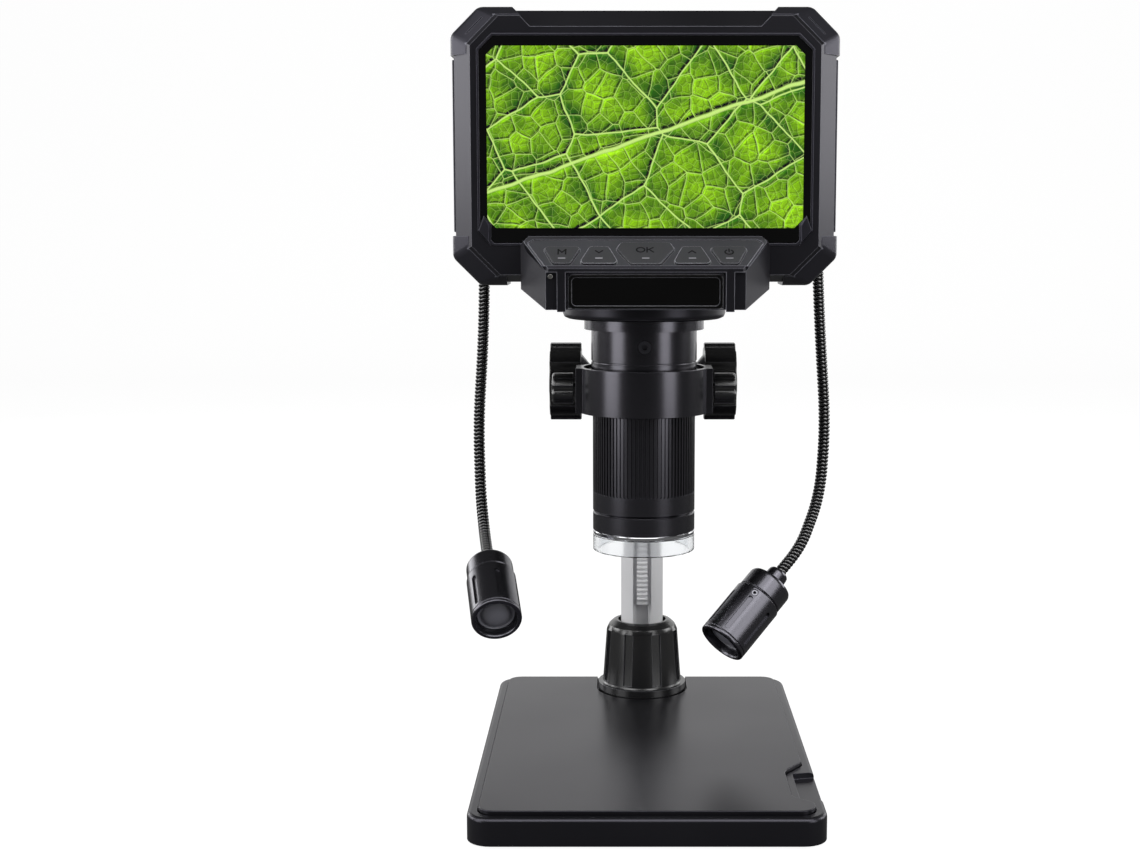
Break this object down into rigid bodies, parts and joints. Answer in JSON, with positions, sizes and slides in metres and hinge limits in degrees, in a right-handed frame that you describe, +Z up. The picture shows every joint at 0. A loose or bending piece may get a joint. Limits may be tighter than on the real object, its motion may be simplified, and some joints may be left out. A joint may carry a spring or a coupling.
{
  "type": "lcd digital microscope",
  "caption": "Desktop digital microscope: screen head on a barrel held in a rack-and-pinion focusing stand, with bendable side lamps over a flat stage.",
  "frame": {"origin": "centre of the base pad's underside, on the surface that the stand rests on", "axes": "+Z up along the column; the screen and controls face -Y; +X is to the right of someone facing the screen"},
  "size_m": [0.1225, 0.143, 0.2364],
  "materials": {
    "base_enamel": "satin black enamel",
    "pad_rubber": "matt rubber foam",
    "stand_plastic": "satin moulded black",
    "plated_steel": "bright plated",
    "steel": "turned",
    "brass": "turned",
    "anodised_black": "black anodised, satin",
    "trim_metal": "turned bright edge",
    "knob_plastic": "glossy black",
    "nylon": "natural nylon",
    "liner_nylon": "black nylon",
    "clear_acrylic": "clear moulded acrylic",
    "optical_glass": "polished",
    "housing_plastic": "fine textured ABS",
    "bumper_plastic": "satin ABS",
    "panel_plastic": "satin",
    "gloss_black": "piano black",
    "lcd": "lit picture",
    "board": "solder mask",
    "lamp_board": "white board with light",
    "battery_film": "wrapped cell",
    "keypad_rubber": "silicone",
    "arm_steel": "black wound sheath"
  },
  "bodies": {
    "stand": {"base_plate": "base_enamel", "base_pad": "pad_rubber", "column_boss": "stand_plastic", "boss_screw": "steel", "column": "plated_steel", "rack": "plated_steel", "lamp_yoke": "stand_plastic", "lamp_inlet": "steel"},
    "stage": {"stage_plate": "base_enamel"},
    "carriage": {"focus_block": "anodised_black", "shaft_bushes": "brass", "tension_screw": "steel", "ring_holder": "anodised_black", "holder_screws": "steel"},
    "focus_knobs": {"pinion_shaft": "steel", "focus_knob_right": "knob_plastic", "focus_knob_left": "knob_plastic"},
    "thumb_tip_right": {"thumb_tip_right": "nylon"},
    "thumb_tip_left": {"thumb_tip_left": "nylon"},
    "thumbscrew_right": {"thumbscrew_right": "knob_plastic"},
    "thumbscrew_left": {"thumbscrew_left": "knob_plastic"},
    "liner": {"ring_liner": "liner_nylon"},
    "microscope": {"barrel_tube": "anodised_black", "barrel_screw": "anodised_black", "nose_ring": "anodised_black", "trim_ring": "trim_metal", "guard_ring": "clear_acrylic", "led_ring_board": "board", "sensor_board": "board", "front_bezel": "housing_plastic", "rear_shell": "housing_plastic", "corner_bumpers": "bumper_plastic", "side_grips": "bumper_plastic", "screen_glass": "gloss_black", "lcd_panel": "lcd", "main_board": "board", "battery": "battery_film", "neck_collar": "housing_plastic", "control_chin": "housing_plastic", "control_panel": "panel_plastic", "keypad": "keypad_rubber", "chin_window": "gloss_black"},
    "focus_ring": {"focus_ring": "anodised_black"},
    "lens_cell": {"lens_cell": "anodised_black", "objective_lens": "optical_glass"},
    "menu_button": {"menu_button": "panel_plastic"},
    "down_button": {"down_button": "panel_plastic"},
    "ok_button": {"ok_button": "panel_plastic"},
    "up_button": {"up_button": "panel_plastic"},
    "power_button": {"power_button": "panel_plastic"},
    "lamp_arm_left": {"lamp_arm_left": "arm_steel"},
    "lamp_left": {"lamp_cap_left": "anodised_black", "lamp_body_left": "anodised_black", "lamp_lens_left": "optical_glass", "lamp_led_left": "lamp_board"},
    "lamp_arm_right": {"lamp_arm_right": "arm_steel"},
    "lamp_right": {"lamp_cap_right": "anodised_black", "lamp_body_right": "anodised_black", "lamp_lens_right": "optical_glass", "lamp_led_right": "lamp_board"}
  },
  "joints": [
    {"name": "stage_lift", "type": "slide", "parent": "stand", "child": "stage", "axis": [0, 0, 1], "range_m": [0, 0.018]},
    {"name": "focus_travel", "type": "slide", "parent": "stand", "child": "carriage", "axis": [0, 0, 1], "range_m": [-0.045, 0.028]},
    {"name": "knob_turn", "type": "hinge", "parent": "carriage", "child": "focus_knobs", "pos_m": [0, 0.0446, 0.119], "axis": [-1, 0, 0], "range_deg": [-580, 365]},
    {"name": "thumb_advance_right", "type": "slide", "parent": "carriage", "child": "thumb_tip_right", "axis": [1, 0, 0], "range_m": [0, 0.0014]},
    {"name": "thumb_turn_right", "type": "hinge", "parent": "thumb_tip_right", "child": "thumbscrew_right", "pos_m": [0.025, 0.0133, 0.1197], "axis": [-1, 0, 0], "range_deg": [0, 760]},
    {"name": "thumb_advance_left", "type": "slide", "parent": "carriage", "child": "thumb_tip_left", "axis": [-1, 0, 0], "range_m": [0, 0.0014]},
    {"name": "thumb_turn_left", "type": "hinge", "parent": "thumb_tip_left", "child": "thumbscrew_left", "pos_m": [-0.025, 0.0133, 0.1197], "axis": [1, 0, 0], "range_deg": [0, 760]},
    {"name": "head_swivel", "type": "hinge", "parent": "carriage", "child": "liner", "pos_m": [0, 0.0133, 0.119], "axis": [0, 0, 1], "range_deg": [-12, 12]},
    {"name": "head_slide", "type": "slide", "parent": "liner", "child": "microscope", "axis": [0, 0, 1], "range_m": [-0.006, 0.06]},
    {"name": "focus_ring_turn", "type": "hinge", "parent": "microscope", "child": "focus_ring", "pos_m": [0, 0.0133, 0.096], "axis": [0, 0, 1], "range_deg": [-135, 135]},
    {"name": "lens_travel", "type": "slide", "parent": "microscope", "child": "lens_cell", "axis": [0, 0, 1], "range_m": [-0.0031, 0.0031]},
    {"name": "menu_press", "type": "slide", "parent": "microscope", "child": "menu_button", "axis": [0, 0.525, -0.8511], "range_m": [0, 0.0005], "stiffness_N_per_m": 1500, "springref_m": -0.0002},
    {"name": "down_press", "type": "slide", "parent": "microscope", "child": "down_button", "axis": [0, 0.525, -0.8511], "range_m": [0, 0.0005], "stiffness_N_per_m": 1500, "springref_m": -0.0002},
    {"name": "ok_press", "type": "slide", "parent": "microscope", "child": "ok_button", "axis": [0, 0.525, -0.8511], "range_m": [0, 0.0005], "stiffness_N_per_m": 1500, "springref_m": -0.0002},
    {"name": "up_press", "type": "slide", "parent": "microscope", "child": "up_button", "axis": [0, 0.525, -0.8511], "range_m": [0, 0.0005], "stiffness_N_per_m": 1500, "springref_m": -0.0002},
    {"name": "power_press", "type": "slide", "parent": "microscope", "child": "power_button", "axis": [0, 0.525, -0.8511], "range_m": [0, 0.0005], "stiffness_N_per_m": 1500, "springref_m": -0.0002},
    {"name": "arm_swing_left", "type": "hinge", "parent": "stand", "child": "lamp_arm_left", "pos_m": [-0.014, 0.0553, 0.186], "axis": [1, 0, 0], "range_deg": [-8, 12]},
    {"name": "lamp_tilt_left", "type": "hinge", "parent": "lamp_arm_left", "child": "lamp_left", "pos_m": [-0.0507, 0.02119, 0.06187], "axis": [-0.9852, -0.1712, 0], "range_deg": [-15, 15]},
    {"name": "arm_swing_right", "type": "hinge", "parent": "stand", "child": "lamp_arm_right", "pos_m": [0.014, 0.0553, 0.186], "axis": [1, 0, 0], "range_deg": [-8, 12]},
    {"name": "lamp_tilt_right", "type": "hinge", "parent": "lamp_arm_right", "child": "lamp_right", "pos_m": [0.04322, 0.01891, 0.05713], "axis": [-0.5967, 0.8024, 0], "range_deg": [-15, 15]}
  ],
  "couplings": [
    {"joint": "knob_turn", "follows": "focus_travel", "rad_per_m": 222.22},
    {"joint": "thumb_turn_right", "follows": "thumb_advance_right", "rad_per_m": 8976},
    {"joint": "thumb_turn_left", "follows": "thumb_advance_left", "rad_per_m": 8976},
    {"joint": "lens_travel", "follows": "focus_ring_turn", "m_per_rad": 0.0012732}
  ]
}
